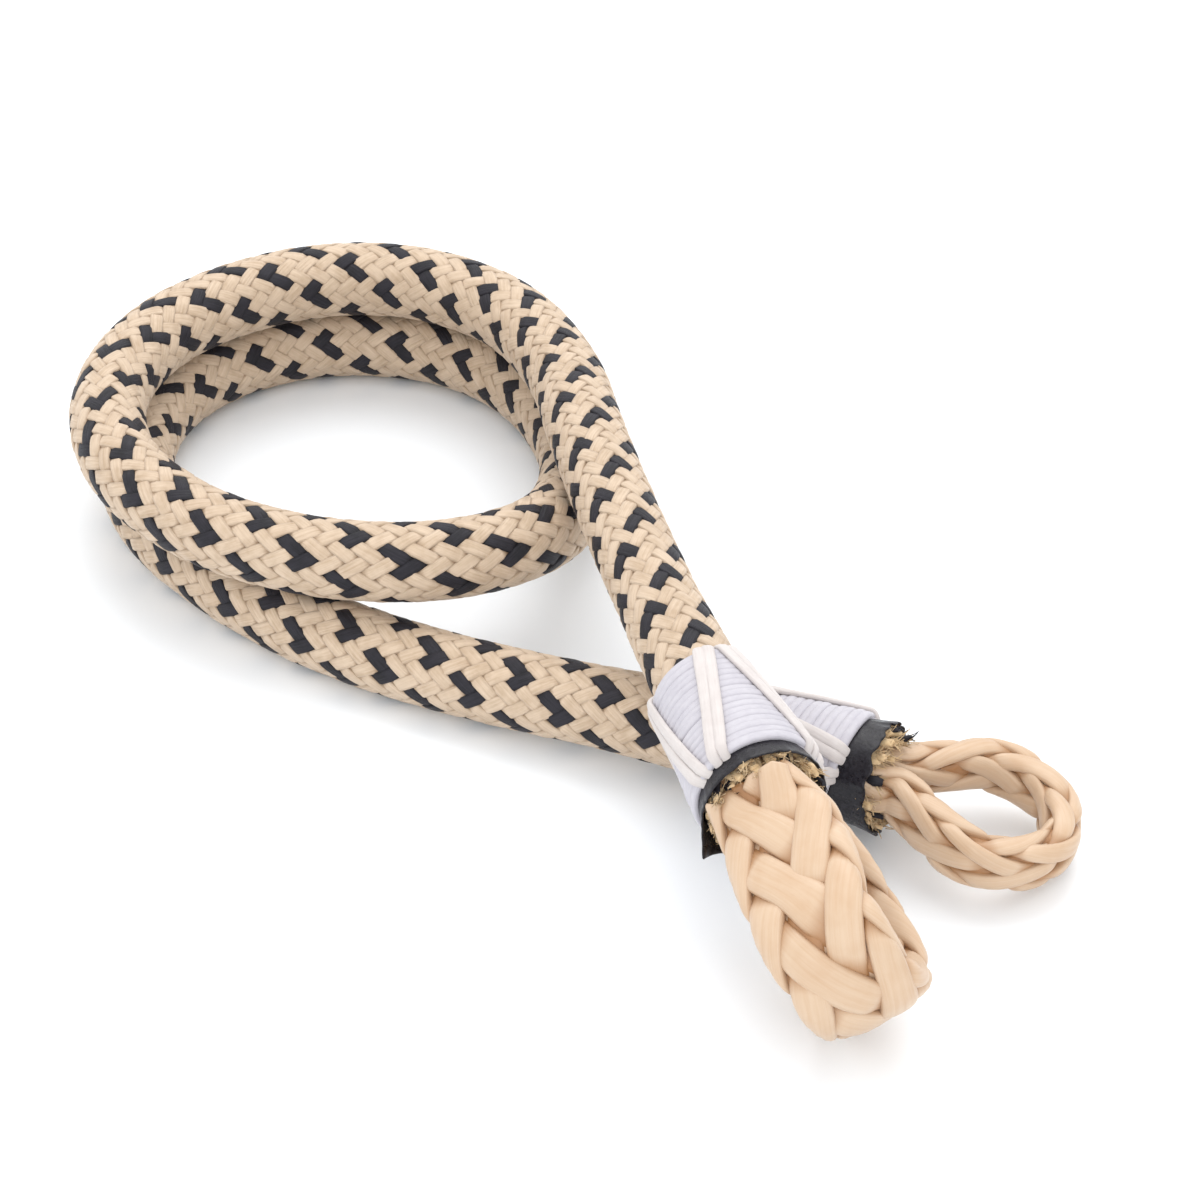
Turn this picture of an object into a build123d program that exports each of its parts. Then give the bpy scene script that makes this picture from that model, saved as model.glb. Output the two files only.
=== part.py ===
"""Short double-braid rope strop, laid in two stacked turns, with a whipped soft eye at each end.

The braided cover and the core follow one route from the front end to the rear end.  At each end
the core leaves the cut cover, forms a spliced eye and runs back into itself as a buried tail.  A
shrink sleeve and a twine whipping with frapping turns clamp the cover onto the splice.

Frame: +X along the strop from the coil to the eyes, +Z up, floor at Z = 0, millimetres.
"""
from build123d import *
import math
import os

os.makedirs("parts", exist_ok=True)

# ---------------------------------------------------------------- driving dimensions
ROPE_DIAMETER = 10.0
CORE_DIAMETER = 6.8
TAIL_DIAMETER = 3.0
TAIL_LENGTH = 30.0
TAIL_TAPER = 9.0
TAIL_TIP_DIAMETER = 0.8

# The buried tails swell the rope: its radius from just past the whipping to the cover's end, how
# far past, the stretch in which it then comes back to the plain rope, and the loft's sections
SPLICE_RADIUS_AT_ROPE = 5.5
SPLICE_RADIUS_AT_EYE = {"front": 6.6, "rear": 5.9}
SPLICE_PAST_WHIPPING = 1.0
SPLICE_RUN_OUT = 15.0
SWELL_SECTIONS = 8

# Twine of a whipping: the height of its crests over the cover, the depth of the grooves between
# them, and how far the uncut whipping reaches into the plain rope
TWINE_DIAMETER = 1.1
WHIPPING_TURNS = 18
TWINE_BED = 0.9
GROOVE_DEPTH = 0.275
WHIPPING_OVERLAP = 0.3

SLEEVE_WALL = 0.45
SLEEVE_LIP_WALL = 0.3
SLEEVE_LENGTH = 14.0

# Distances back from an eye's pivot, along the end of the rope
COVER_END = 4.0
FRINGE_LIP = 0.8
SLEEVE_LIP = 2.2
WHIPPING_END = 4.0

FRINGE_WALL = 1.4
FRINGE_FLARE = 0.5

# Centreline of the cover, from the front end round the upper turn, down and round the lower turn
# to the rear end.  The upper turn lies on the lower one, and the front end crosses over both.
ROUTE = [
    (52.9, -6.0, 19.6),
    (29.5, 0.8, 20.3),
    (5.4, 9.4, 20.7),
    (-17.4, 19.0, 19.6),
    (-33.9, 27.5, 16.6),
    (-52.4, 31.0, 15.4),
    (-67.9, 23.5, 15.4),
    (-75.9, 9.0, 15.4),
    (-75.9, -9.0, 15.4),
    (-66.9, -23.5, 15.4),
    (-51.9, -31.0, 15.4),
    (-34.9, -30.0, 15.4),
    (-19.9, -22.0, 15.4),
    (-9.4, -9.0, 15.2),
    (-8.4, 6.0, 13.4),
    (-18.4, 18.5, 9.0),
    (-32.4, 28.0, 5.4),
    (-49.4, 31.5, 5.0),
    (-64.9, 26.5, 5.0),
    (-75.9, 13.0, 5.0),
    (-77.4, -4.0, 5.0),
    (-68.9, -19.0, 5.0),
    (-52.9, -27.0, 5.0),
    (-34.4, -26.0, 5.0),
    (-16.4, -21.0, 5.0),
    (1.3, -11.6, 5.2),
    (24.4, 3.0, 7.2),
    (46.5, 15.2, 8.3),
]

# Each eye: its direction from the throat to the tip, the side its near leg faces, and its sizes
FRONT_EYE = {
    "direction": (21.6, -2.4, -11.0),
    "near_side": (0.29, -0.64, 0.71),
    "length": 26.2,
    "width": 20.5,
    "thickness": 4.5,
    "height": 13.0,
}
REAR_EYE = {
    "direction": (14.8, 12.0, -4.0),
    "near_side": (0.60, -0.80, 0.0),
    "length": 22.0,
    "width": 21.5,
    "thickness": 4.3,
    "height": 6.4,
}

# Shape of an eye near its throat: the edge rounding of the braid, the gap between the legs, the
# neck and ball at the pivot, and the (distance, radius) outline that the legs are trimmed to there
EYE_EDGE_ROUND = 1.2
LEG_GAP = 0.1
NECK_RADIUS = 2.6
NECK_LENGTH = 3.6
PIVOT_BALL_RADIUS = 3.0
THROAT_OUTLINE = [(0, 0), (0, 2.6), (0.4, 2.7), (5.5, 8.0), (8.0, 14.0), (60, 40), (60, 0)]

# Frapping turns zigzag round the whipping in pairs, between corners on its rope side and as many
# on its eye side: angles in degrees from the top, and a pair's strands in spacings from a corner
FRAPPING_DIAMETER = 1.2
FRAPPING_LIFT = 0.36
FRAPPING_CORNERS = 3
FRAPPING_FIRST_CORNER = 10.0
FRAPPING_PAIR_SPACING = 11.0
FRAPPING_PAIR = (0.6, 1.6)


# ---------------------------------------------------------------- the route
def corner_radii(points):
    """Radius of the arc at each corner: 0.45 of the shorter run over the tangent of half the turn."""
    radii = []
    for before, corner, after in zip(points, points[1:], points[2:]):
        run_in = Vector(corner) - Vector(before)
        run_out = Vector(after) - Vector(corner)
        half_turn = math.radians(run_in.get_angle(run_out)) / 2
        shorter = min(run_in.length, run_out.length)
        radii.append(0.45 * shorter / math.tan(half_turn))
    return radii


def along_path(section, path):
    """Sweep a flat section, drawn about the origin, along the path."""
    start = Plane(origin=path @ 0, z_dir=path % 0)
    return sweep(start * section, path=path)


def end_axis(tip, inner):
    """Unit vector out of the rope's end."""
    return (Vector(tip) - Vector(inner)).normalized()


PATH = FilletPolyline(*ROUTE, radius=corner_radii(ROUTE))
FRONT_AXIS = end_axis(ROUTE[0], ROUTE[1])
REAR_AXIS = end_axis(ROUTE[-1], ROUTE[-2])
FRONT_PIVOT = Vector(ROUTE[0]) + FRONT_AXIS * COVER_END
REAR_PIVOT = Vector(ROUTE[-1]) + REAR_AXIS * COVER_END


# ---------------------------------------------------------------- ends of the rope
def section_plane(origin, back):
    """Plane across the rope with Z back into it and X towards the top."""
    up = Vector(0, 0, 1)
    top = up - back * up.dot(back)
    return Plane(origin=origin, x_dir=top, z_dir=back)


def turned(profile_points, plane):
    """Solid of revolution about the plane's Z, from (radius, distance back) points."""
    outline = Polyline(*[(radius, 0, back) for radius, back in profile_points], close=True)
    return plane * revolve(make_face(outline), axis=Axis.Z)


END_POINTS = {"front": ROUTE[:3], "rear": ROUTE[:-4:-1]}
END_PLANES = {
    "front": section_plane(FRONT_PIVOT, FRONT_AXIS * -1),
    "rear": section_plane(REAR_PIVOT, REAR_AXIS * -1),
}
WHIPPING_START = WHIPPING_END + WHIPPING_TURNS * TWINE_DIAMETER
SWELL_START = WHIPPING_START + SPLICE_PAST_WHIPPING


def splice_radius(name, back):
    """Outer radius of the cover over the buried tail, at a distance back from the pivot."""
    if back > SWELL_START:
        share = min(1.0, (back - SWELL_START) / SPLICE_RUN_OUT)
        return SPLICE_RADIUS_AT_ROPE + (ROPE_DIAMETER / 2 - SPLICE_RADIUS_AT_ROPE) * share
    share = (back - COVER_END) / (SWELL_START - COVER_END)
    at_eye = SPLICE_RADIUS_AT_EYE[name]
    return at_eye + (SPLICE_RADIUS_AT_ROPE - at_eye) * share


# ---------------------------------------------------------------- rope
def swollen_path(name):
    """The route of a swollen end, from its tip to the middle of the second run."""
    tip, corner, beyond = END_POINTS[name]
    middle = (Vector(corner) + Vector(beyond)) / 2
    return FilletPolyline(tip, corner, middle, radius=corner_radii(END_POINTS[name]))


def make_swollen_end(name):
    """The end of the rope over the buried tail, lofted through circles along its route."""
    path = swollen_path(name)
    sections = []
    for step in range(SWELL_SECTIONS + 1):
        share = step / SWELL_SECTIONS
        radius = splice_radius(name, COVER_END + share * path.length)
        sections.append(section_plane(path @ share, path % share) * Circle(radius))
    return loft(sections)


def plain_path():
    """The route between the middles of the second run and the last run but one."""
    start = (Vector(ROUTE[1]) + Vector(ROUTE[2])) / 2
    stop = (Vector(ROUTE[-2]) + Vector(ROUTE[-3])) / 2
    return FilletPolyline(start, *ROUTE[2:-2], stop, radius=corner_radii(ROUTE)[1:-1])


def make_rope_bulk():
    """The whole rope as one full solid, with its swollen ends."""
    plain = along_path(Circle(ROPE_DIAMETER / 2), plain_path())
    return plain + make_swollen_end("front") + make_swollen_end("rear")


def make_splice_tail(end_points):
    """Tapered tail of the core, buried inside the core from the eye inwards."""
    inwards = Plane(origin=end_points[0], z_dir=Vector(end_points[1]) - Vector(end_points[0]))
    straight = TAIL_LENGTH - TAIL_TAPER
    on_end = (Align.CENTER, Align.CENTER, Align.MIN)
    tail = inwards * Cylinder(TAIL_DIAMETER / 2, straight, align=on_end)
    taper = Cone(TAIL_DIAMETER / 2, TAIL_TIP_DIAMETER / 2, TAIL_TAPER, align=on_end)
    return tail + inwards * (Pos(0, 0, straight) * taper)


# ---------------------------------------------------------------- what closes an end
def fringe_profile(name):
    """Outer edge of the flared cut end of the cover, as (radius, distance back) points."""
    radius = splice_radius(name, COVER_END)
    return [(radius, COVER_END), (radius + FRINGE_FLARE, FRINGE_LIP)]


def make_cover_fringe(name):
    """Flared cut end of the cover's yarns."""
    lip_radius = fringe_profile(name)[1][0]
    inner = [(lip_radius - FRINGE_WALL, FRINGE_LIP), (CORE_DIAMETER / 2, COVER_END)]
    return turned(fringe_profile(name) + inner, END_PLANES[name])


def make_shrink_sleeve(name, rope):
    """Thin sleeve on the cover, flared over the fringe where it leaves the whipping."""
    stop = SLEEVE_LIP + SLEEVE_LENGTH
    lip_radius = splice_radius(name, COVER_END) + FRINGE_FLARE + SLEEVE_LIP_WALL
    bulk = turned(
        [
            (0, SLEEVE_LIP),
            (lip_radius, SLEEVE_LIP),
            (splice_radius(name, WHIPPING_END) + SLEEVE_WALL, WHIPPING_END),
            (splice_radius(name, stop) + SLEEVE_WALL, stop),
            (0, stop),
        ],
        END_PLANES[name],
    )
    fringe_bulk = turned([(0, COVER_END)] + fringe_profile(name) + [(0, FRINGE_LIP)], END_PLANES[name])
    return bulk - rope - fringe_bulk


def crest_radius(name, turn):
    """Outer radius of the whipping at a turn counted from the eye side."""
    back = WHIPPING_END + turn * TWINE_DIAMETER
    over_sleeve = SLEEVE_WALL * max(0.0, 1.0 - turn / WHIPPING_TURNS)
    return splice_radius(name, back) + over_sleeve + TWINE_BED


def make_whipping(name, rope, sleeve):
    """Tight turns of twine, one bulge each, growing in diameter towards the eye."""
    edges = []
    for turn in range(WHIPPING_TURNS):
        start = WHIPPING_END + turn * TWINE_DIAMETER
        edges.append(
            ThreePointArc(
                (crest_radius(name, turn) - GROOVE_DEPTH, 0, start),
                (crest_radius(name, turn + 0.5), 0, start + TWINE_DIAMETER / 2),
                (crest_radius(name, turn + 1) - GROOVE_DEPTH, 0, start + TWINE_DIAMETER),
            )
        )
    inner = ROPE_DIAMETER / 2 - WHIPPING_OVERLAP
    edges.append(
        Polyline(
            (crest_radius(name, WHIPPING_TURNS) - GROOVE_DEPTH, 0, WHIPPING_START),
            (inner, 0, WHIPPING_START),
            (inner, 0, WHIPPING_END),
            (crest_radius(name, 0) - GROOVE_DEPTH, 0, WHIPPING_END),
        )
    )
    bulk = END_PLANES[name] * revolve(make_face(edges), axis=Axis.Z)
    return bulk - rope - sleeve


def make_frapping_strand(name, start_angle, stop_angle, whipping):
    """One frapping strand over the whipping, from its rope side to its eye side."""
    points = []
    for share in (0.0, 0.5, 1.0):
        turn = WHIPPING_TURNS * (1 - share)
        radius = crest_radius(name, turn) + FRAPPING_LIFT
        angle = math.radians(start_angle + (stop_angle - start_angle) * share)
        back = WHIPPING_END + turn * TWINE_DIAMETER
        points.append((radius * math.cos(angle), radius * math.sin(angle), back))
    strand = along_path(Circle(FRAPPING_DIAMETER / 2), ThreePointArc(*points))
    return END_PLANES[name] * strand - whipping


def make_frapping(name, whipping):
    """All the frapping strands of one whipping, as separate solids in pairs."""
    strands = []
    step = 180.0 / FRAPPING_CORNERS
    for corner in range(FRAPPING_CORNERS):
        rope_side = FRAPPING_FIRST_CORNER + 2 * step * corner
        for turn in (-1, 1):
            for place in FRAPPING_PAIR:
                start = rope_side + turn * place * FRAPPING_PAIR_SPACING
                other_place = sum(FRAPPING_PAIR) - place
                stop = rope_side + turn * (step - other_place * FRAPPING_PAIR_SPACING)
                strand = make_frapping_strand(name, start, stop, whipping)
                strands.extend(strand.solids())
    return Compound(children=strands)


# ---------------------------------------------------------------- soft eyes
def eye_plane(eye, pivot):
    """Plane of an eye: X from the throat to the tip, -Y to the near leg."""
    forward = Vector(*eye["direction"]).normalized()
    near = Vector(*eye["near_side"])
    near = (near - forward * near.dot(forward)).normalized()
    return Plane(origin=pivot, x_dir=forward, z_dir=near.cross(forward))


def make_eye(eye, pivot):
    """Flattened braid bent into a loop, with both legs meeting in a ball at the pivot."""
    thickness = eye["thickness"]
    bend = (eye["width"] - thickness) / 2
    centre = eye["length"] - eye["width"] / 2
    root = (thickness + LEG_GAP) / 2
    reach = math.hypot(centre, root)
    slope = math.asin(bend / reach) - math.atan2(root, centre)
    touch_x = centre - bend * math.sin(slope)
    touch_y = bend * math.cos(slope)
    lead_in = Line((0, -root), (touch_x, -touch_y))
    bight = ThreePointArc((touch_x, -touch_y), (centre + bend, 0), (touch_x, touch_y))
    lead_out = Line((touch_x, touch_y), (0, root))
    path = Wire([lead_in, bight, lead_out])
    section = RectangleRounded(thickness, eye["height"], EYE_EDGE_ROUND)
    start = Plane(origin=path @ 0, x_dir=(math.sin(slope), math.cos(slope), 0), z_dir=path % 0)
    band = sweep(start * section, path=path)
    throat = revolve(make_face(Polyline(*THROAT_OUTLINE, close=True)), axis=Axis.X)
    on_end = (Align.CENTER, Align.CENTER, Align.MIN)
    neck = Rot(0, 90, 0) * Cylinder(NECK_RADIUS, NECK_LENGTH, align=on_end)
    loop = (band & throat) + neck + Sphere(PIVOT_BALL_RADIUS)
    return eye_plane(eye, pivot) * loop


# ---------------------------------------------------------------- assembly
def write(name, shape):
    export_step(shape, f"parts/{name}.step")


def write_end(name, rope):
    """Write the pieces that close one end of the rope."""
    sleeve = make_shrink_sleeve(name, rope)
    whipping = make_whipping(name, rope, sleeve)
    write(f"{name}_cover_fringe", make_cover_fringe(name))
    write(f"{name}_shrink_sleeve", sleeve)
    write(f"{name}_whipping", whipping)
    write(f"{name}_frapping", make_frapping(name, whipping))


def main():
    print("corner radii", [round(radius, 1) for radius in corner_radii(ROUTE)])
    core = along_path(Circle(CORE_DIAMETER / 2), PATH)
    section = math.pi * (CORE_DIAMETER / 2) ** 2
    print("route length", round(PATH.length, 1))
    print("core volume over section times length", round(core.volume / (section * PATH.length), 4))
    print("pivots", FRONT_PIVOT, REAR_PIVOT)

    rope = make_rope_bulk()
    front_tail = make_splice_tail(ROUTE[:2])
    rear_tail = make_splice_tail(ROUTE[:-3:-1])
    write("cover_braid", rope - core)
    write("core_rope", core - front_tail - rear_tail)
    write("front_splice_tail", front_tail)
    write("rear_splice_tail", rear_tail)
    write_end("front", rope)
    write_end("rear", rope)
    write("front_eye", make_eye(FRONT_EYE, FRONT_PIVOT))
    write("rear_eye", make_eye(REAR_EYE, REAR_PIVOT))


main()
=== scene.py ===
"""Looks of the eye-to-eye rope strop: braided cover, whipped ends and two soft eyes."""
import math

import bpy
import numpy as np
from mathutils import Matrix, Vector


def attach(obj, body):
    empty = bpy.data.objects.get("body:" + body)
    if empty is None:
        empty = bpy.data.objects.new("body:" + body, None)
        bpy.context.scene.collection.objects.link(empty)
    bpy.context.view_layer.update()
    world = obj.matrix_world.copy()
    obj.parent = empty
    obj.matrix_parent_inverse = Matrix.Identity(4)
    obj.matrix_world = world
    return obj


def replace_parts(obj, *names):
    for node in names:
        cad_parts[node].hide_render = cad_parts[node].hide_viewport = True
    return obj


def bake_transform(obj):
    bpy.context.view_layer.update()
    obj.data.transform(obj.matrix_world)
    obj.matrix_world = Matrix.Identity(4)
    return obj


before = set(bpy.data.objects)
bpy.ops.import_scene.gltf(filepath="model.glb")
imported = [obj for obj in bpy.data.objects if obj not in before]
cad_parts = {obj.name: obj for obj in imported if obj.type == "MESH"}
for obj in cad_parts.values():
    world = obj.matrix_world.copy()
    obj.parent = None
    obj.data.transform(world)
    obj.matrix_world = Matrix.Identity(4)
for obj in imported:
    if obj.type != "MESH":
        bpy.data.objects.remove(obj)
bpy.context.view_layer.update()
RANDOM = np.random.default_rng(7)

# ---------------------------------------------------------------- sizes, in metres
MM = 0.001
ROUTE_MM = [
    (52.9, -6.0, 19.6),
    (29.5, 0.8, 20.3),
    (5.4, 9.4, 20.7),
    (-17.4, 19.0, 19.6),
    (-33.9, 27.5, 16.6),
    (-52.4, 31.0, 15.4),
    (-67.9, 23.5, 15.4),
    (-75.9, 9.0, 15.4),
    (-75.9, -9.0, 15.4),
    (-66.9, -23.5, 15.4),
    (-51.9, -31.0, 15.4),
    (-34.9, -30.0, 15.4),
    (-19.9, -22.0, 15.4),
    (-9.4, -9.0, 15.2),
    (-8.4, 6.0, 13.4),
    (-18.4, 18.5, 9.0),
    (-32.4, 28.0, 5.4),
    (-49.4, 31.5, 5.0),
    (-64.9, 26.5, 5.0),
    (-75.9, 13.0, 5.0),
    (-77.4, -4.0, 5.0),
    (-68.9, -19.0, 5.0),
    (-52.9, -27.0, 5.0),
    (-34.4, -26.0, 5.0),
    (-16.4, -21.0, 5.0),
    (1.3, -11.6, 5.2),
    (24.4, 3.0, 7.2),
    (46.5, 15.2, 8.3),
]
ROUTE = [tuple(value * MM for value in point) for point in ROUTE_MM]
ROPE_RADIUS = 5.0 * MM

# Radius of the cover over the buried tails, and the distances back from a pivot along the rope
COVER_END = 4.0 * MM
SWELL_START = 24.8 * MM
RUN_OUT = 15.0 * MM
RADIUS_AT_ROPE = 5.5 * MM
RADIUS_AT_EYE = {"front": 6.6 * MM, "rear": 5.9 * MM}
WHIPPING_TURNS = 18
TWINE = 1.1 * MM
TWINE_BED = 0.9 * MM
OVER_SLEEVE = 0.45 * MM

# The rear whipping's turns crowd back by this much on one side of it
REAR_BARED = 3.2 * MM
REAR_BARED_FROM = math.radians(20)

# Cover braid: 16 yarns each way, over two and under two, of which one in four is black
YARNS_EACH_WAY = 16
BLACK_ONE_IN = 4
YARN_PITCH = 47.0 * MM
YARN_WIDTH = 1.80 * MM
YARN_THICKNESS = 0.68 * MM
YARN_RISE = 0.23 * MM
YARN_SIDES = 12
YARN_POWER = 0.5
# How much painted crevice shade darkens a cover yarn along its edges
YARN_EDGE_SHADE = 0.5
LINE_STEP = 0.65 * MM

# Eyes: direction from the throat, near side, length and width as in the CAD. The rest is the
# visible braid's own: its thickness, the heights of its near and far legs and their shifts
# along the normal, its advance along the eye from one crossing to the next, and a strand's width
# and thickness
EYES = {
    "front": {
        "direction": (21.6, -2.4, -11.0),
        "near_side": (0.29, -0.64, 0.71),
        "length": 26.2 * MM,
        "width": 20.5 * MM,
        "thickness": 4.8 * MM,
        "heights": (14.8 * MM, 12.6 * MM),
        "shifts": (0.7 * MM, 0.0),
        "crossing": 4.9 * MM,
        "strand": (5.1 * MM, 1.7 * MM),
        "phase": 0.3,
    },
    "rear": {
        "direction": (14.8, 12.0, -4.0),
        "near_side": (0.60, -0.80, 0.0),
        "length": 22.0 * MM,
        "width": 21.5 * MM,
        "thickness": 4.9 * MM,
        "heights": (7.2 * MM, 6.6 * MM),
        "shifts": (0.0, 0.0),
        "crossing": 4.6 * MM,
        "strand": (2.9 * MM, 1.5 * MM),
        "phase": 0.8,
    },
}
EYE_STRANDS_EACH_WAY = 6
EYE_STRAND_SIDES = 20
EYE_STRAND_POWER = 0.72
EYE_STRAND_RISE = 0.30
# How much painted crevice shade darkens an eye strand along its edges
EYE_EDGE_SHADE = 0.5
THROAT_LENGTH = 9.0 * MM
BURIED_LENGTH = 4.5 * MM

# ---------------------------------------------------------------- vectors and meshes
def unit(vectors):
    vectors = np.asarray(vectors, float)
    return vectors / np.linalg.norm(vectors, axis=-1, keepdims=True)


def smooth_line(points):
    """Points of the NURBS spline that has these control points."""
    curve = bpy.data.curves.new("route", "CURVE")
    curve.dimensions = "3D"
    curve.resolution_u = 24
    spline = curve.splines.new("NURBS")
    spline.points.add(len(points) - 1)
    for control, point in zip(spline.points, points):
        control.co = (*point, 1.0)
    spline.order_u = 3
    spline.use_endpoint_u = True
    carrier = bpy.data.objects.new("route", curve)
    mesh = bpy.data.meshes.new_from_object(carrier)
    line = np.array([vertex.co for vertex in mesh.vertices], float)
    bpy.data.meshes.remove(mesh)
    bpy.data.objects.remove(carrier)
    bpy.data.curves.remove(curve)
    return line


def distances(line):
    steps = np.linalg.norm(np.diff(line, axis=0), axis=1)
    return np.concatenate([[0.0], np.cumsum(steps)])


def resampled(line, step):
    along = distances(line)
    at = np.linspace(0, along[-1], int(round(along[-1] / step)) + 1)
    return np.stack([np.interp(at, along, line[:, axis]) for axis in range(3)], axis=1)


def tangents(line):
    return unit(np.gradient(line, axis=0))


def transported(line, first_side):
    """Side and other side of each point, turned as little as possible along the line."""
    forward = tangents(line)
    side = np.zeros_like(line)
    current = np.array(first_side, float)
    for i, direction in enumerate(forward):
        current = current - direction * (current @ direction)
        current = current / np.linalg.norm(current)
        side[i] = current
    return side, np.cross(forward, side)


def wander(length, wave, size):
    """A smooth seeded wander of about this size, over samples about wave apart."""
    knots = max(4, int(length / wave) + 2)
    values = RANDOM.normal(0, size, knots)
    at = np.linspace(0, knots - 1, length)
    low = np.minimum(at.astype(int), knots - 2)
    share = at - low
    share = share * share * (3 - 2 * share)
    return values[low] * (1 - share) + values[low + 1] * share


def oval(sides, power):
    """Unit superelliptic section: a power of 1 is round, and a smaller one is boxier."""
    turn = np.linspace(0, 2 * math.pi, sides, endpoint=False)
    right = np.sign(np.cos(turn)) * np.abs(np.cos(turn)) ** power
    above = np.sign(np.sin(turn)) * np.abs(np.sin(turn)) ** power
    return right, above


def edge_depth(wave, sides, power, strength):
    """How much painted crevice shade a braided yarn's points get: where it dives under others, and
    along its edges.
    """
    edge = strength * np.abs(oval(sides, power)[0]) ** 6
    return np.clip((1 - wave)[:, None] / 2 + edge[None, :], 0, 1)


class MeshParts:
    """Collects tubes into one mesh with UVs and an attribute for painted crevice shade."""

    def __init__(self):
        self.points = []
        self.faces = []
        self.uvs = []
        self.depths = []
        self.slots = []
        self.count = 0

    def add_tube(self, centre, across, up, width, height, uv_offset=0.0, depth=None, slot=0,
                 sides=8, power=0.75):
        """A closed tube of superelliptic section: width and height are arrays or numbers."""
        steps = len(centre)
        right, above = oval(sides, power)
        half_width = np.broadcast_to(np.asarray(width, float) / 2, steps)
        half_height = np.broadcast_to(np.asarray(height, float) / 2, steps)
        rings = (
            centre[:, None, :]
            + across[:, None, :] * (half_width[:, None] * right)[:, :, None]
            + up[:, None, :] * (half_height[:, None] * above)[:, :, None]
        )
        self.add_rings(rings, uv_offset, depth, slot)

    def add_rings(self, rings, uv_offset=0.0, depth=None, slot=0):
        """A closed tube through (steps, sides, 3) points, with an amount of painted crevice shade
        per step or per point.
        """
        steps, sides = rings.shape[:2]
        along = distances(rings.mean(axis=1))
        first = self.count
        i = np.arange(steps - 1)[:, None]
        j = np.arange(sides)[None, :]
        k = (j + 1) % sides
        quads = np.stack(
            [first + i * sides + j, first + i * sides + k,
             first + (i + 1) * sides + k, first + (i + 1) * sides + j], axis=-1
        ).reshape(-1, 4)
        shape = (steps - 1, sides)
        low = np.broadcast_to(along[:-1, None], shape) + uv_offset
        high = np.broadcast_to(along[1:, None], shape) + uv_offset
        left = np.broadcast_to(j / sides, shape)
        right = np.broadcast_to((j + 1) / sides, shape)
        corners = np.stack(
            [np.stack([low, left], -1), np.stack([low, right], -1),
             np.stack([high, right], -1), np.stack([high, left], -1)],
            axis=-2,
        ).reshape(-1, 2)
        self.points.append(rings.reshape(-1, 3))
        self.faces.extend(quads.tolist())
        self.uvs.append(corners)
        self.slots.extend([slot] * len(quads))
        for end, order in ((0, -1), (steps - 1, 1)):
            cap = (first + end * sides + np.arange(sides))[::order].tolist()
            self.faces.append(cap)
            self.uvs.append(np.full((sides, 2), (uv_offset, 0.5)))
            self.slots.append(slot)
        depth = np.zeros(steps) if depth is None else np.asarray(depth, float)
        if depth.ndim == 1:
            depth = depth[:, None]
        self.depths.append(np.broadcast_to(depth, (steps, sides)).ravel())
        self.count += steps * sides

    def build(self, name, materials):
        mesh = bpy.data.meshes.new(name)
        mesh.from_pydata(np.vstack(self.points).tolist(), [], self.faces)
        layer = mesh.uv_layers.new(name="UVMap")
        layer.data.foreach_set("uv", np.vstack(self.uvs).ravel().astype(np.float32))
        # This attribute holds how much painted crevice shade each point gets.
        attribute = mesh.attributes.new("depth", "FLOAT", "POINT")
        attribute.data.foreach_set("value", np.concatenate(self.depths).astype(np.float32))
        mesh.polygons.foreach_set("use_smooth", [len(face) == 4 for face in self.faces])
        for material in materials:
            mesh.materials.append(material)
        mesh.polygons.foreach_set("material_index", self.slots)
        mesh.validate()
        mesh.update()
        piece = bpy.data.objects.new(name, mesh)
        bpy.context.scene.collection.objects.link(piece)
        return piece


def add_strand(parts, centre, outward, width, height, **look):
    """A tube along the centre line that lies flat on the surface outward points away from."""
    along = tangents(centre)
    across = unit(np.cross(along, outward))
    parts.add_tube(centre, across, np.cross(across, along), width, height, **look)


# ---------------------------------------------------------------- materials
def new_material(name):
    material = bpy.data.materials.new(name)
    material.use_nodes = True
    tree = material.node_tree
    shader = tree.nodes["Principled BSDF"]
    return material, tree, shader


def add_node(tree, kind, **settings):
    node = tree.nodes.new(kind)
    for key, value in settings.items():
        setattr(node, key, value)
    return node


def ramp(tree, source, stops):
    node = add_node(tree, "ShaderNodeValToRGB")
    elements = node.color_ramp.elements
    while len(elements) < len(stops):
        elements.new(0.5)
    for element, (position, colour) in zip(elements, stops):
        element.position = position
        element.color = (*colour, 1.0)
    tree.links.new(source, node.inputs["Fac"])
    return node.outputs["Color"]


def mixed(tree, share, first, second, blend="MIX"):
    node = add_node(tree, "ShaderNodeMix", data_type="RGBA", blend_type=blend)
    sockets = (node.inputs[0], node.inputs[6], node.inputs[7])
    for socket, value in zip(sockets, (share, first, second)):
        if isinstance(value, bpy.types.NodeSocket):
            tree.links.new(value, socket)
        else:
            socket.default_value = value if isinstance(value, float) else (*value, 1.0)
    return node.outputs[2]


def noise(tree, vector, scale, detail=3.0, roughness=0.55):
    node = add_node(tree, "ShaderNodeTexNoise")
    node.inputs["Scale"].default_value = scale
    node.inputs["Detail"].default_value = detail
    node.inputs["Roughness"].default_value = roughness
    tree.links.new(vector, node.inputs["Vector"])
    return node.outputs["Fac"]


def scaled(tree, vector, scale):
    node = add_node(tree, "ShaderNodeMapping")
    node.inputs["Scale"].default_value = scale
    tree.links.new(vector, node.inputs["Vector"])
    return node.outputs["Vector"]


def bumped(tree, shader, height, distance):
    node = add_node(tree, "ShaderNodeBump")
    node.inputs["Strength"].default_value = 1.0
    node.inputs["Distance"].default_value = distance
    tree.links.new(height, node.inputs["Height"])
    tree.links.new(node.outputs["Normal"], shader.inputs["Normal"])


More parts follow.
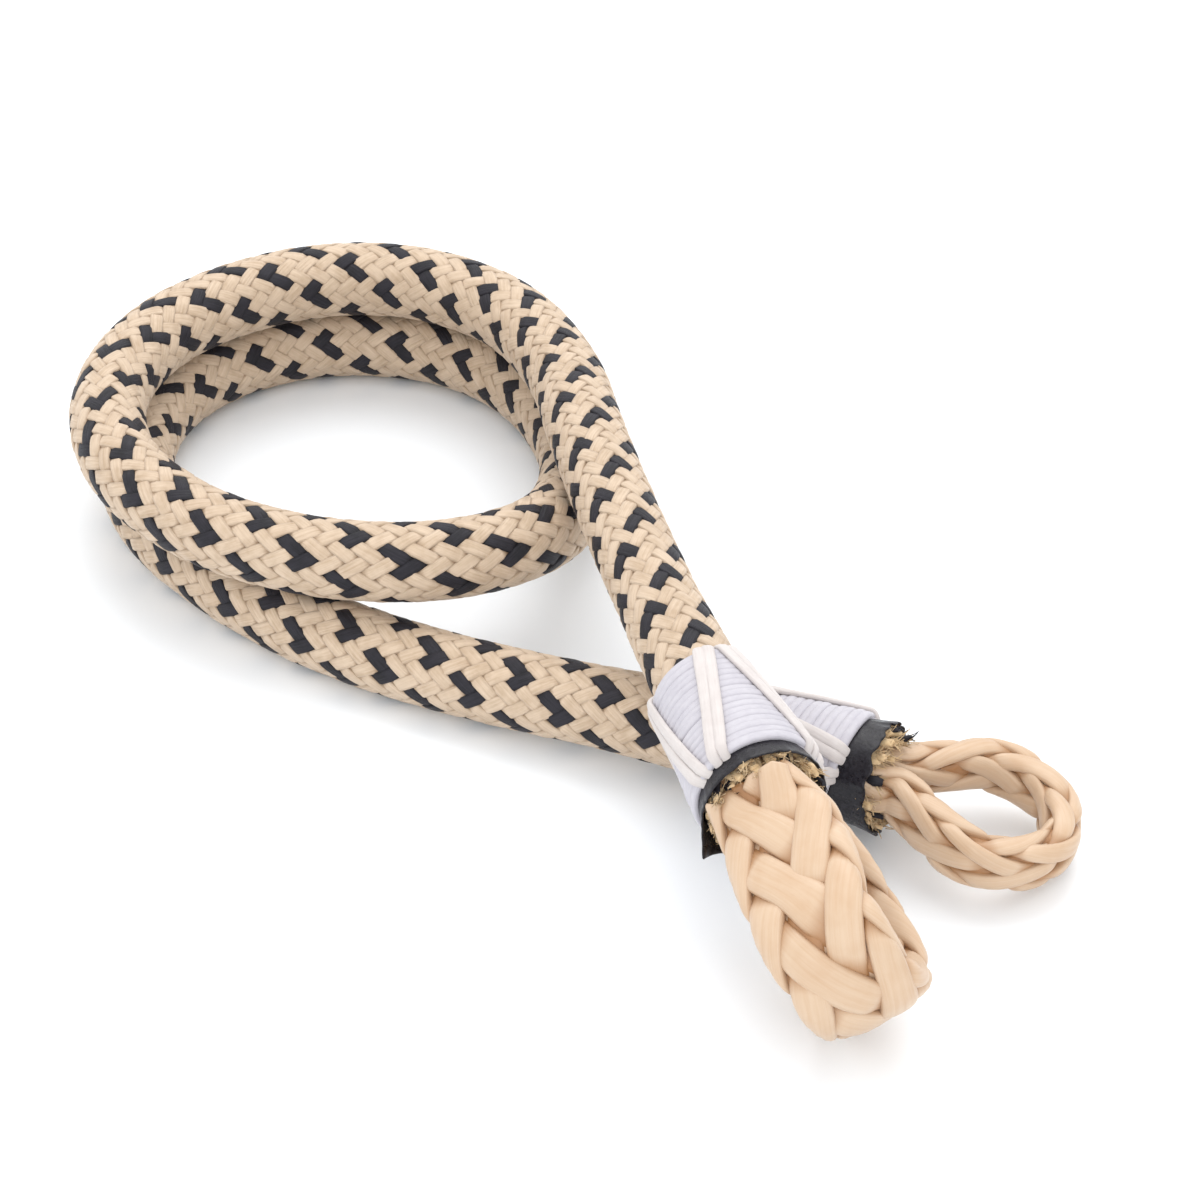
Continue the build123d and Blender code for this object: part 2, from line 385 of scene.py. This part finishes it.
def fibre_material(name, light, dark, painted_shade_colour, rough, filament=(350.0, 16.0), relief=0.05,
                   sheen=0.15, patch=450.0, specular=0.4):
    """Yarn of parallel filaments: fine lines along it, soft patches, and painted crevice shade,
    darker and warmer, where it dives under others and along its edges.
    """
    material, tree, shader = new_material(name)
    uv = add_node(tree, "ShaderNodeUVMap", uv_map="UVMap").outputs["UV"]
    place = add_node(tree, "ShaderNodeTexCoord").outputs["Object"]
    lines = noise(tree, scaled(tree, uv, (filament[0], filament[1], 1.0)), 1.0, 5.0, 0.65)
    patches = noise(tree, place, patch, 3.0)
    colour = ramp(tree, lines, [(0.30, dark), (0.62, light)])
    softened = ramp(tree, patches, [(0.30, dark), (0.60, light)])
    colour = mixed(tree, 0.45, colour, softened)
    # Painted crevice shade: the colour turns to the dark, warm crevice colour where the yarn dives
    # under others and along its edges.
    painted_shade_mask = add_node(tree, "ShaderNodeAttribute", attribute_name="depth").outputs["Fac"]
    colour = mixed(tree, ramp(tree, painted_shade_mask, [(0.25, (0, 0, 0)), (1.0, (1, 1, 1))]), colour, painted_shade_colour)
    tree.links.new(colour, shader.inputs["Base Color"])
    roughness = add_node(tree, "ShaderNodeMapRange")
    roughness.inputs["To Min"].default_value = rough + 0.10
    roughness.inputs["To Max"].default_value = rough - 0.10
    tree.links.new(lines, roughness.inputs["Value"])
    tree.links.new(roughness.outputs["Result"], shader.inputs["Roughness"])
    shader.inputs["Specular IOR Level"].default_value = specular
    shader.inputs["Sheen Weight"].default_value = sheen
    shader.inputs["Sheen Roughness"].default_value = 0.4
    bumped(tree, shader, lines, relief * MM)
    return material


def film_material(name):
    """Glossy black shrink film with small wrinkles and dull scuffs."""
    material, tree, shader = new_material(name)
    place = add_node(tree, "ShaderNodeTexCoord").outputs["Object"]
    wrinkles = noise(tree, place, 700.0, 4.0)
    scuffs = noise(tree, place, 2600.0, 5.0, 0.7)
    colour = ramp(tree, scuffs, [(0.45, (0.006, 0.005, 0.008)), (0.75, (0.026, 0.024, 0.032))])
    tree.links.new(colour, shader.inputs["Base Color"])
    rough = ramp(tree, scuffs, [(0.35, (0.22, 0.22, 0.22)), (0.70, (0.48, 0.48, 0.48))])
    tree.links.new(rough, shader.inputs["Roughness"])
    shader.inputs["Specular IOR Level"].default_value = 0.32
    bumped(tree, shader, wrinkles, 0.12 * MM)
    return material


def shaded_core_material(name):
    """Laid core as it shows between the cover's yarns: a dark brown that is painted shade for the
    gaps between the yarns, darker towards the rims of its cells.
    """
    material, tree, shader = new_material(name)
    place = add_node(tree, "ShaderNodeTexCoord").outputs["Object"]
    cells = add_node(tree, "ShaderNodeTexVoronoi")
    cells.inputs["Scale"].default_value = 420.0
    tree.links.new(place, cells.inputs["Vector"])
    # Painted shade: the core's browns are darker than the yarns' own tan, for the shade seen in the
    # gaps between them.
    stops = [(0.0, (0.42, 0.24, 0.11)), (0.9, (0.20, 0.10, 0.05))]
    colour = ramp(tree, cells.outputs["Distance"], stops)
    tree.links.new(colour, shader.inputs["Base Color"])
    shader.inputs["Roughness"].default_value = 0.75
    bumped(tree, shader, cells.outputs["Distance"], 0.2 * MM)
    return material


def floor_material():
    material, tree, shader = new_material("pale_floor")
    place = add_node(tree, "ShaderNodeTexCoord").outputs["Object"]
    grain = noise(tree, place, 12.0, 2.0)
    colour = ramp(tree, grain, [(0.3, (0.88, 0.91, 0.94)), (0.7, (0.90, 0.93, 0.96))])
    tree.links.new(colour, shader.inputs["Base Color"])
    shader.inputs["Roughness"].default_value = 0.9
    shader.inputs["Specular IOR Level"].default_value = 0.1
    return material


# The third colour of each yarn material is its painted crevice shade.
COVER_YARN = fibre_material(
    "cover_yarn", (0.615, 0.485, 0.362), (0.40, 0.285, 0.185), (0.20, 0.115, 0.058), 0.66,
    filament=(220.0, 30.0), relief=0.16)
TRACER_YARN = fibre_material(
    "tracer_yarn", (0.022, 0.020, 0.028), (0.003, 0.003, 0.004), (0.003, 0.003, 0.004), 0.55,
    filament=(250.0, 34.0), relief=0.16, sheen=0.0, specular=0.28)
EYE_STRAND = fibre_material(
    "eye_strand", (0.576, 0.425, 0.295), (0.504, 0.331, 0.202), (0.36, 0.18, 0.075), 0.42,
    filament=(120.0, 40.0), relief=0.05, sheen=0.1, patch=240.0, specular=0.55)
TWINE_FIBRE = fibre_material(
    "whipping_twine", (0.512, 0.496, 0.536), (0.432, 0.416, 0.464), (0.27, 0.265, 0.32), 0.55,
    filament=(900.0, 9.0), relief=0.06)
FRAPPING_FIBRE = fibre_material(
    "frapping_twine", (0.608, 0.568, 0.552), (0.528, 0.480, 0.464), (0.40, 0.35, 0.335), 0.6,
    filament=(260.0, 22.0), relief=0.06)
FRAYED_YARN = fibre_material(
    "frayed_yarn", (0.70, 0.52, 0.31), (0.49, 0.33, 0.16), (0.31, 0.18, 0.08), 0.8,
    filament=(500.0, 12.0), relief=0.10, sheen=0.3)
FRAYED_TRACER = fibre_material(
    "frayed_tracer", (0.022, 0.020, 0.028), (0.006, 0.006, 0.009), (0.004, 0.003, 0.004), 0.6,
    filament=(500.0, 12.0), relief=0.08, sheen=0.0, specular=0.28)
SHRINK_FILM = film_material("shrink_film")
SHADED_LAID_CORE = shaded_core_material("laid_core_painted_shade")

# ---------------------------------------------------------------- the rope's line
LINE = resampled(smooth_line(ROUTE), LINE_STEP)
ALONG = distances(LINE)
ROPE_LENGTH = ALONG[-1]
SIDE, OTHER_SIDE = transported(LINE, (0.0, 0.0, 1.0))
END_AXIS = {"front": unit(LINE[0] - LINE[1]), "rear": unit(LINE[-1] - LINE[-2])}
TIP = {"front": LINE[0], "rear": LINE[-1]}
PIVOT = {name: TIP[name] + END_AXIS[name] * COVER_END for name in TIP}


def splice_radius(name, back):
    """Outer radius of the cover at distances back from a pivot."""
    back = np.asarray(back, float)
    share = (back - COVER_END) / (SWELL_START - COVER_END)
    clamped = RADIUS_AT_EYE[name] + (RADIUS_AT_ROPE - RADIUS_AT_EYE[name]) * share
    run_out = np.clip((back - SWELL_START) / RUN_OUT, 0, 1)
    beyond = RADIUS_AT_ROPE + (ROPE_RADIUS - RADIUS_AT_ROPE) * run_out
    return np.where(back < SWELL_START, clamped, beyond)


def cover_radius(along):
    front = splice_radius("front", along + COVER_END)
    rear = splice_radius("rear", ROPE_LENGTH - along + COVER_END)
    return np.maximum(front, rear)


def pressed(wave):
    """A wave with flatter tops, for a yarn that lies flat over two others and dives under two."""
    softness = 0.32
    return wave / np.sqrt(wave * wave + softness * softness) * math.sqrt(1 + softness * softness)


def over_under(place, index, way):
    """Height of a braided yarn: 1 where it passes over two others, -1 where it passes under two."""
    top = 0.5 if way > 0 else 2.5
    phase = (2 * index - place) if way > 0 else (place - 2 * index)
    return pressed(np.cos(math.pi * (phase - top) / 2))


def make_cover():
    """The braid's yarns as two pieces, natural and black."""
    crossing = YARN_PITCH / (2 * YARNS_EACH_WAY)
    spacing = math.pi / YARNS_EACH_WAY
    place = ALONG / crossing
    radius = cover_radius(ALONG)
    natural = MeshParts()
    tracers = MeshParts()
    for way in (1, -1):
        for index in range(YARNS_EACH_WAY):
            shift = wander(len(ALONG), 18, 0.05)
            angle = way * (place - 2 * index + shift) * spacing
            wave = over_under(place, index, way)
            black = index % BLACK_ONE_IN == (0 if way > 0 else 1)
            lift = wander(len(ALONG), 9, 0.03 * MM)
            middle = radius - YARN_THICKNESS / 2 - YARN_RISE * (1 - wave) + lift
            outward = SIDE * np.cos(angle)[:, None] + OTHER_SIDE * np.sin(angle)[:, None]
            centre = LINE + outward * middle[:, None]
            spread = YARN_WIDTH * radius / ROPE_RADIUS * (1 + wander(len(ALONG), 12, 0.035))
            # Painted crevice shade where the yarn dives under others and along its edges
            depth = edge_depth(wave, YARN_SIDES, YARN_POWER, YARN_EDGE_SHADE)
            add_strand(tracers if black else natural, centre, outward, spread, YARN_THICKNESS,
                       uv_offset=0.137 * index + way, depth=depth,
                       sides=YARN_SIDES, power=YARN_POWER)
    cover = natural.build("cover_yarns", [COVER_YARN])
    black_yarns = tracers.build("cover_tracers", [TRACER_YARN])
    return cover, black_yarns


# ---------------------------------------------------------------- ends of the rope
def end_frame(name, back):
    """Centre, top and side at distances back from a pivot."""
    back = np.atleast_1d(np.asarray(back, float))
    from_tip = back - COVER_END
    inside = np.clip(from_tip, 0, None)
    along = inside if name == "front" else ROPE_LENGTH - inside
    centre = np.stack([np.interp(along, ALONG, LINE[:, axis]) for axis in range(3)], axis=1)
    centre = centre - np.minimum(from_tip, 0)[:, None] * END_AXIS[name]
    inwards = -np.broadcast_to(END_AXIS[name], centre.shape)
    up = np.array([0.0, 0.0, 1.0])
    top = unit(up - inwards * (inwards @ up)[:, None])
    return centre, top, np.cross(inwards, top)


def round_end(name, back, angle, radius):
    """Points at distances back, angles from the top and radii, with their outward directions."""
    centre, top, side = end_frame(name, back)
    outward = top * np.cos(angle)[:, None] + side * np.sin(angle)[:, None]
    return centre + outward * np.asarray(radius)[:, None], outward


def whipped_share(back):
    """1 at the whipping's eye end, falling to 0 at its rope end."""
    return np.clip(1 - (back - COVER_END) / (WHIPPING_TURNS * TWINE), 0, 1)


def crest_radius(name, back):
    """Outer radius of the whipping, which stands higher where the sleeve is under it."""
    return splice_radius(name, back) + OVER_SLEEVE * whipped_share(back) + TWINE_BED


def slanted(name, back, angle):
    """The rear whipping's turns crowd back on one side, which bares the sleeve there."""
    if name == "front":
        return back
    facing = 0.5 - 0.5 * np.cos(angle - REAR_BARED_FROM)
    return back + REAR_BARED * whipped_share(back) * facing


def make_whipping(name):
    """One twine in tight turns, tucked under at both ends."""
    turns = WHIPPING_TURNS
    per_turn = 56
    width = TWINE * 1.22
    height = TWINE * 0.85
    tucked_turns = 0.45
    tuck_back = 0.9
    count = turns * per_turn
    angle = np.linspace(0, 2 * math.pi * turns, count)
    back = COVER_END + TWINE * (0.5 + (turns - 1) * np.linspace(0, 1, count))
    back = back + wander(count, 20, 0.09 * MM)
    back = slanted(name, back, angle)
    from_end = np.minimum(np.arange(count), count - 1 - np.arange(count)) / per_turn
    tucked = np.clip(1 - from_end / tucked_turns, 0, 1) ** 1.5
    back = back + tucked * TWINE * np.where(np.arange(count) < count / 2, tuck_back, -tuck_back)
    radius = crest_radius(name, back) - TWINE / 2 + wander(count, 16, 0.05 * MM) - tucked * TWINE
    centre, outward = round_end(name, back, angle, radius)
    parts = MeshParts()
    add_strand(parts, centre, outward, width, height, sides=12, power=0.8)
    piece = parts.build(f"{name}_whipping_twine", [TWINE_FIBRE])
    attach(piece, "rope")
    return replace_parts(piece, f"{name}_whipping")


def make_frapping(name):
    """Pairs of strands that zigzag over the whipping and dive in at both ends of it."""
    corners = 3
    first = 10.0
    spacing = 9.6
    places = (0.6, 1.6)
    jitter = 0.7
    samples = 60
    width = 1.45 * MM
    thickness = 0.75 * MM
    lift = 0.18 * MM
    dive_depth = 1.9 * MM
    dive_share = 0.08
    rope_end = 1.005
    eye_end = 0.02
    step = 180.0 / corners
    length = WHIPPING_TURNS * TWINE
    parts = MeshParts()
    for corner in range(corners):
        start_corner = first + 2 * step * corner
        for turn in (-1, 1):
            for place in places:
                across_corner = step - (sum(places) - place) * spacing
                start = start_corner + turn * place * spacing + RANDOM.normal(0, jitter)
                stop = start_corner + turn * across_corner + RANDOM.normal(0, jitter)
                share = np.linspace(0, 1, samples)
                angle = np.radians(start + (stop - start) * share)
                back = COVER_END + length * (rope_end + (eye_end - rope_end) * share)
                into_end = np.abs(share - 0.5) - (0.5 - dive_share)
                dive = np.clip(into_end / dive_share, 0, 1) ** 2
                back = slanted(name, back, angle)
                radius = crest_radius(name, back) + lift - dive * dive_depth
                centre, outward = round_end(name, back, angle, radius)
                spread = width * (1 - 0.25 * dive) * (1 + wander(samples, 14, 0.05))
                add_strand(parts, centre, outward, spread, thickness,
                           uv_offset=RANDOM.random(), sides=12, power=0.8)
    piece = parts.build(f"{name}_frapping_strands", [FRAPPING_FIBRE])
    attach(piece, "rope")
    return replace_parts(piece, f"{name}_frapping")


def grid_piece(name, points, material):
    """A sheet from a (rows, columns, 3) grid whose columns close on themselves."""
    rows, columns = points.shape[:2]
    faces = []
    for row in range(rows - 1):
        for column in range(columns):
            after = (column + 1) % columns
            faces.append((row * columns + column, row * columns + after,
                          (row + 1) * columns + after, (row + 1) * columns + column))
    mesh = bpy.data.meshes.new(name)
    mesh.from_pydata(points.reshape(-1, 3).tolist(), [], faces)
    mesh.polygons.foreach_set("use_smooth", [True] * len(faces))
    mesh.materials.append(material)
    mesh.update()
    piece = bpy.data.objects.new(name, mesh)
    bpy.context.scene.collection.objects.link(piece)
    return piece


def round_wander(count, waves, size):
    """A seeded wander around a ring, which closes on itself."""
    angle = np.linspace(0, 2 * math.pi, count, endpoint=False)
    total = np.zeros(count)
    for wave in range(1, waves + 1):
        height = RANDOM.normal(0, size / math.sqrt(waves))
        total += height * np.cos(wave * angle + RANDOM.random() * 2 * math.pi)
    return total


def make_sleeve(name):
    """Thin film from under the whipping to a ragged lip round the mouth."""
    columns = 180
    angle = np.linspace(0, 2 * math.pi, columns, endpoint=False)
    if name == "front":
        flap = np.exp(-np.abs(np.degrees(angle) - 242) / 13)
        lip = 2.5 * MM + round_wander(columns, 12, 0.08 * MM) - 2.4 * MM * flap
        flare = 1.8 * MM * flap
    else:
        flap = np.exp(-((np.degrees(angle) - 215) / 30) ** 2)
        lip = 2.0 * MM + round_wander(columns, 24, 0.25 * MM) - 0.9 * MM * flap
        flare = 0.2 * MM * flap
    gap = 0.12 * MM
    wall = 0.32 * MM
    lip_flare = 0.35 * MM
    start = 14.0 * MM
    rows = []
    profile = [(0.0, 0.0), (0.45, 0.0), (0.70, 0.0), (0.85, 0.3), (0.94, 0.7), (1.0, 1.0)]
    creases = round_wander(columns, 40, {"front": 0.04 * MM, "rear": 0.10 * MM}[name])
    for surface in (1, 0):
        order = profile if surface else profile[::-1]
        for share, flared in order:
            back = start + (lip - start) * share
            opened = flared * (lip_flare + flare + creases)
            radius = splice_radius(name, back) + gap + wall * surface + opened
            points, _ = round_end(name, back, angle, radius)
            rows.append(points)
    rows.append(rows[0])
    piece = grid_piece(f"{name}_sleeve_film", np.array(rows), SHRINK_FILM)
    smoother = piece.modifiers.new("smooth", "SUBSURF")
    smoother.levels = 1
    smoother.render_levels = 1
    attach(piece, "rope")
    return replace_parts(piece, f"{name}_shrink_sleeve")


def add_hairs(parts, name, slot, count, back, angle, radius):
    """Loose filaments that leave the outer part of a cut yarn."""
    steps = 7
    run = np.linspace(0, 1, steps)
    for _ in range(count):
        begin = int(RANDOM.integers(3, len(back)))
        length = RANDOM.uniform(0.4, 1.5) * MM
        hair_back = back[begin] - length * run
        spread = RANDOM.normal(0, 0.10)
        hair_angle = angle[begin] + RANDOM.normal(0, 0.07) + spread * run ** 1.5
        rise = RANDOM.normal(0.1, 0.6) * MM
        hair_radius = radius[begin] + RANDOM.normal(0, 0.2) * MM + rise * run ** 1.6
        centre, outward = round_end(name, hair_back, hair_angle, hair_radius)
        thick = RANDOM.uniform(0.10, 0.24) * MM * (1 - 0.6 * run)
        add_strand(parts, centre, outward, thick, thick,
                   uv_offset=RANDOM.random(), slot=slot, sides=5, power=1.0)


def make_fringe(name):
    """Cut yarns of the cover: stubs in three layers that fray into filaments, natural and black."""
    parts = MeshParts()
    stubs = 2 * YARNS_EACH_WAY
    layers = 3
    steps = 9
    share = np.linspace(0, 1, steps)
    mouth = float(splice_radius(name, COVER_END))
    layer_depth = 0.55 * MM
    reach = {"front": 3.4 * MM, "rear": 4.2 * MM}[name]
    hairs = {False: 12, True: 4}
    longer = {False: 1.0, True: 1.15}
    for stub in range(stubs):
        black = stub % 5 == 2
        for layer in range(layers):
            around = 2 * math.pi * (stub + 0.33 * layer + RANDOM.normal(0, 0.25)) / stubs
            length = reach * RANDOM.uniform(0.45, 1.0) * longer[black]
            curl = RANDOM.normal(0, 0.12)
            angle = around + curl * share
            back = COVER_END + 0.6 * MM - length * share
            flare = RANDOM.uniform(-0.7, 0.9) * MM * share ** 1.5
            radius = mouth - layer_depth * (1 + layer) + flare + wander(steps, 3, 0.1 * MM)
            centre, outward = round_end(name, back, angle, radius)
            width = (1.75 - 0.7 * share ** 2) * MM * RANDOM.uniform(0.75, 1.0)
            width = width * (1 + wander(steps, 2, 0.16))
            height = 0.95 * MM * (1 - 0.45 * share) * (1 + wander(steps, 2, 0.18))
            add_strand(parts, centre, outward, width, height,
                       uv_offset=RANDOM.random(), slot=int(black), sides=8, power=0.8)
            add_hairs(parts, name, int(black), hairs[black], back, angle, radius)
    piece = parts.build(f"{name}_frayed_cover", [FRAYED_YARN, FRAYED_TRACER])
    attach(piece, "rope")
    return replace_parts(piece, f"{name}_cover_fringe")


# ---------------------------------------------------------------- soft eyes
def band_section(aspect):
    """A flat oval of this height over its thickness: points, outward normals and girth."""
    samples = 720
    reach = 12
    right, above = oval(2 * samples, 0.68)
    loop = np.stack([right, above * aspect], axis=1)
    loop = np.vstack([loop, loop[:1]])
    run = distances(loop)
    even = np.linspace(0, run[-1], samples, endpoint=False)
    points = np.stack([np.interp(even, run, loop[:, axis]) for axis in range(2)], axis=1)
    slope = np.roll(points, -reach, axis=0) - np.roll(points, reach, axis=0)
    normals = unit(np.stack([slope[:, 1], -slope[:, 0]], axis=1))
    return points, normals, run[-1]


def eye_line(eye):
    """Centreline of the eye's braid in its own plane, from inside the throat and back into it."""
    thickness = eye["thickness"]
    bend = (eye["width"] - thickness) / 2
    centre = eye["length"] - eye["width"] / 2
    root = thickness / 2 * 0.98
    slope = math.asin(bend / math.hypot(centre, root)) - math.atan2(root, centre)
    touch = (centre - bend * math.sin(slope), bend * math.cos(slope))
    start = np.array((0, root))
    leg = np.linspace(0, 1, 60)[:, None] * (np.array(touch) - start) + start
    arc = np.linspace(math.pi / 2 + slope, -math.pi / 2 - slope, 160)[1:-1]
    bight = np.stack([centre + bend * np.cos(arc), bend * np.sin(arc)], axis=1)
    into_throat = np.linspace(-BURIED_LENGTH, 0, 12)[:-1]
    painted_shade_mask = np.stack([into_throat, np.full(len(into_throat), root)], axis=1)
    far_leg = np.vstack([painted_shade_mask, leg])
    near_leg = (far_leg * (1, -1))[::-1]
    flat = np.vstack([far_leg, bight, near_leg])[::-1]
    flat3 = np.column_stack([flat, np.zeros(len(flat))])
    even = resampled(flat3, 0.35 * MM)
    reach = 5
    kernel = np.hanning(2 * reach + 1)
    kernel = kernel / kernel.sum()
    padded = np.vstack([np.repeat(even[:1], reach, 0), even, np.repeat(even[-1:], reach, 0)])
    return np.stack([np.convolve(padded[:, axis], kernel, "valid") for axis in range(3)], axis=1)


class Band:
    """The surface of an eye's flattened braid, by distance along it and share of its girth."""

    def __init__(self, name):
        eye = EYES[name]
        self.forward = unit(eye["direction"])
        near = np.array(eye["near_side"], float)
        near = unit(near - self.forward * (near @ self.forward))
        normal = np.cross(near, self.forward)
        left = np.cross(normal, self.forward)
        flat = eye_line(eye)
        self.line = PIVOT[name] + flat[:, :1] * self.forward + flat[:, 1:2] * left
        self.along = distances(self.line)
        self.tall = np.broadcast_to(normal, self.line.shape)
        self.wide = np.cross(tangents(self.line), self.tall)
        from_end = np.minimum(self.along, self.along[-1] - self.along)
        grown = np.clip(from_end / THROAT_LENGTH, 0, 1)
        self.grown = grown * grown * (3 - 2 * grown)
        across = self.along / self.along[-1]
        near_height, far_height = eye["heights"]
        near_shift, far_shift = eye["shifts"]
        height = near_height + (far_height - near_height) * across
        self.half_height = height / 2 * (0.78 + 0.22 * self.grown)
        self.half_thickness = eye["thickness"] / 2 * (1.08 - 0.08 * self.grown)
        self.shift = (near_shift + (far_shift - near_shift) * across) * self.grown
        aspect = near_height / eye["thickness"]
        self.points, self.normals, girth = band_section(aspect)
        self.points = self.points / (1, aspect)
        self.girth = girth * eye["thickness"] / 2

    def across_at(self, values, at):
        return np.stack([np.interp(at, self.along, values[:, axis]) for axis in range(3)], axis=-1)

    def around_at(self, values, share):
        turn = np.arange(len(values)) / len(values)
        return [np.interp(share, turn, values[:, axis], period=1.0) for axis in range(2)]

    def surface(self, at, share, inset):
        """Points this far inside the surface."""
        at = np.clip(at, 0, self.along[-1])
        x, y = self.around_at(self.points, share)
        out_x, out_y = self.around_at(self.normals, share)
        half_thickness = np.interp(at, self.along, self.half_thickness)
        half_height = np.interp(at, self.along, self.half_height)
        shift = np.interp(at, self.along, self.shift)
        sideways = x * half_thickness - out_x * inset
        upwards = shift + y * half_height - out_y * inset
        return (
            self.across_at(self.line, at)
            + self.across_at(self.wide, at) * sideways[..., None]
            + self.across_at(self.tall, at) * upwards[..., None]
        )


def make_eye(name):
    """Flattened twelve-strand braid round the eye, with a filler inside it."""
    eye = EYES[name]
    band = Band(name)
    along = band.along
    width, thick = eye["strand"]
    rise = thick * EYE_STRAND_RISE
    crossing = eye["crossing"]
    lane = band.girth / (2 * EYE_STRANDS_EACH_WAY)
    slant = math.hypot(crossing, lane)
    right, above = oval(EYE_STRAND_SIDES, EYE_STRAND_POWER)
    parts = MeshParts()
    for way in (1, -1):
        for index in range(EYE_STRANDS_EACH_WAY):
            place = along / crossing + eye["phase"] + wander(len(along), 26, 0.10)
            share = way * (place - 2 * index) / (2 * EYE_STRANDS_EACH_WAY)
            wave = over_under(place, index, way)
            inset = thick / 2 + rise * (1 - wave) + wander(len(along), 14, 0.09 * MM)
            spread = width * (1 + wander(len(along), 22, 0.09)) * (0.85 + 0.15 * band.grown)
            sideways = spread[:, None] / 2 * right[None, :]
            at = along[:, None] - way * lane / slant * sideways
            around = share[:, None] + crossing / slant * sideways / band.girth
            rings = band.surface(at, around % 1.0, inset[:, None] - thick / 2 * above[None, :])
            # Painted crevice shade where the strand dives under others and along its edges
            depth = edge_depth(wave, EYE_STRAND_SIDES, EYE_STRAND_POWER, EYE_EDGE_SHADE)
            parts.add_rings(rings, uv_offset=0.31 * index + way, depth=depth)
    filler_inset = 0.80 * thick
    # The filler's painted crevice shade stays too small to darken it.
    filler_depth = np.full(len(along), 0.2)
    filling = np.linspace(0, 1, 48, endpoint=False)
    spots = np.broadcast_to(along[:, None], (len(along), len(filling)))
    shares = np.broadcast_to(filling[None, :], spots.shape)
    parts.add_rings(band.surface(spots, shares, filler_inset), depth=filler_depth)
    piece = parts.build(f"{name}_eye_braid", [EYE_STRAND])
    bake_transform(piece)
    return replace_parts(piece, f"{name}_eye")


# ---------------------------------------------------------------- assembly
def make_rope():
    cover, tracers = make_cover()
    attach(cover, "rope")
    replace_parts(cover, "cover_braid")
    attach(tracers, "rope")
    pieces = [tracers]
    for name in ("front", "rear"):
        pieces += [make_whipping(name), make_frapping(name), make_sleeve(name), make_fringe(name)]
        make_eye(name)
    # The core and splice tails take the dark core material, painted as the shade in the gaps of the
    # cover.
    for node in ("core_rope", "front_splice_tail", "rear_splice_tail"):
        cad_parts[node].data.materials.clear()
        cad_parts[node].data.materials.append(SHADED_LAID_CORE)


def make_floor():
    bpy.ops.mesh.primitive_plane_add(size=6.0, location=(0, 0, -0.0001))
    floor = bpy.context.object
    floor.name = "floor"
    floor.data.materials.append(floor_material())


def make_camera():
    camera = bpy.data.cameras.new("camera")
    camera.sensor_width = 36.0
    camera.lens = 111.6
    seat = bpy.data.objects.new("camera", camera)
    bpy.context.scene.collection.objects.link(seat)
    place = Vector((0.3044, -0.2040, 0.28775))
    target = Vector((-0.0084, 0.0150, 0.0))
    seat.location = place
    seat.rotation_euler = (target - place).to_track_quat("-Z", "Y").to_euler()
    bpy.context.scene.camera = seat


def add_softbox(name, place, target, size, power):
    light = bpy.data.lights.new(name, "AREA")
    light.shape = "DISK"
    light.size = size
    light.energy = power
    seat = bpy.data.objects.new(name, light)
    bpy.context.scene.collection.objects.link(seat)
    seat.location = place
    aim = Vector(target) - Vector(place)
    seat.rotation_euler = aim.to_track_quat("-Z", "Y").to_euler()


def make_lights():
    world = bpy.data.worlds.new("studio")
    world.use_nodes = True
    background = world.node_tree.nodes["Background"]
    background.inputs["Color"].default_value = (1.0, 1.0, 1.0, 1.0)
    background.inputs["Strength"].default_value = 1.28
    bpy.context.scene.world = world
    bpy.context.scene.view_settings.view_transform = "Standard"
    add_softbox("key_softbox", (-0.45, 0.35, 0.95), (0, 0, 0), 1.0, 5.75)
    add_softbox("fill_softbox", (0.7, -0.6, 0.6), (0, 0, 0), 0.9, 2.25)


make_rope()
make_floor()
make_camera()
make_lights()
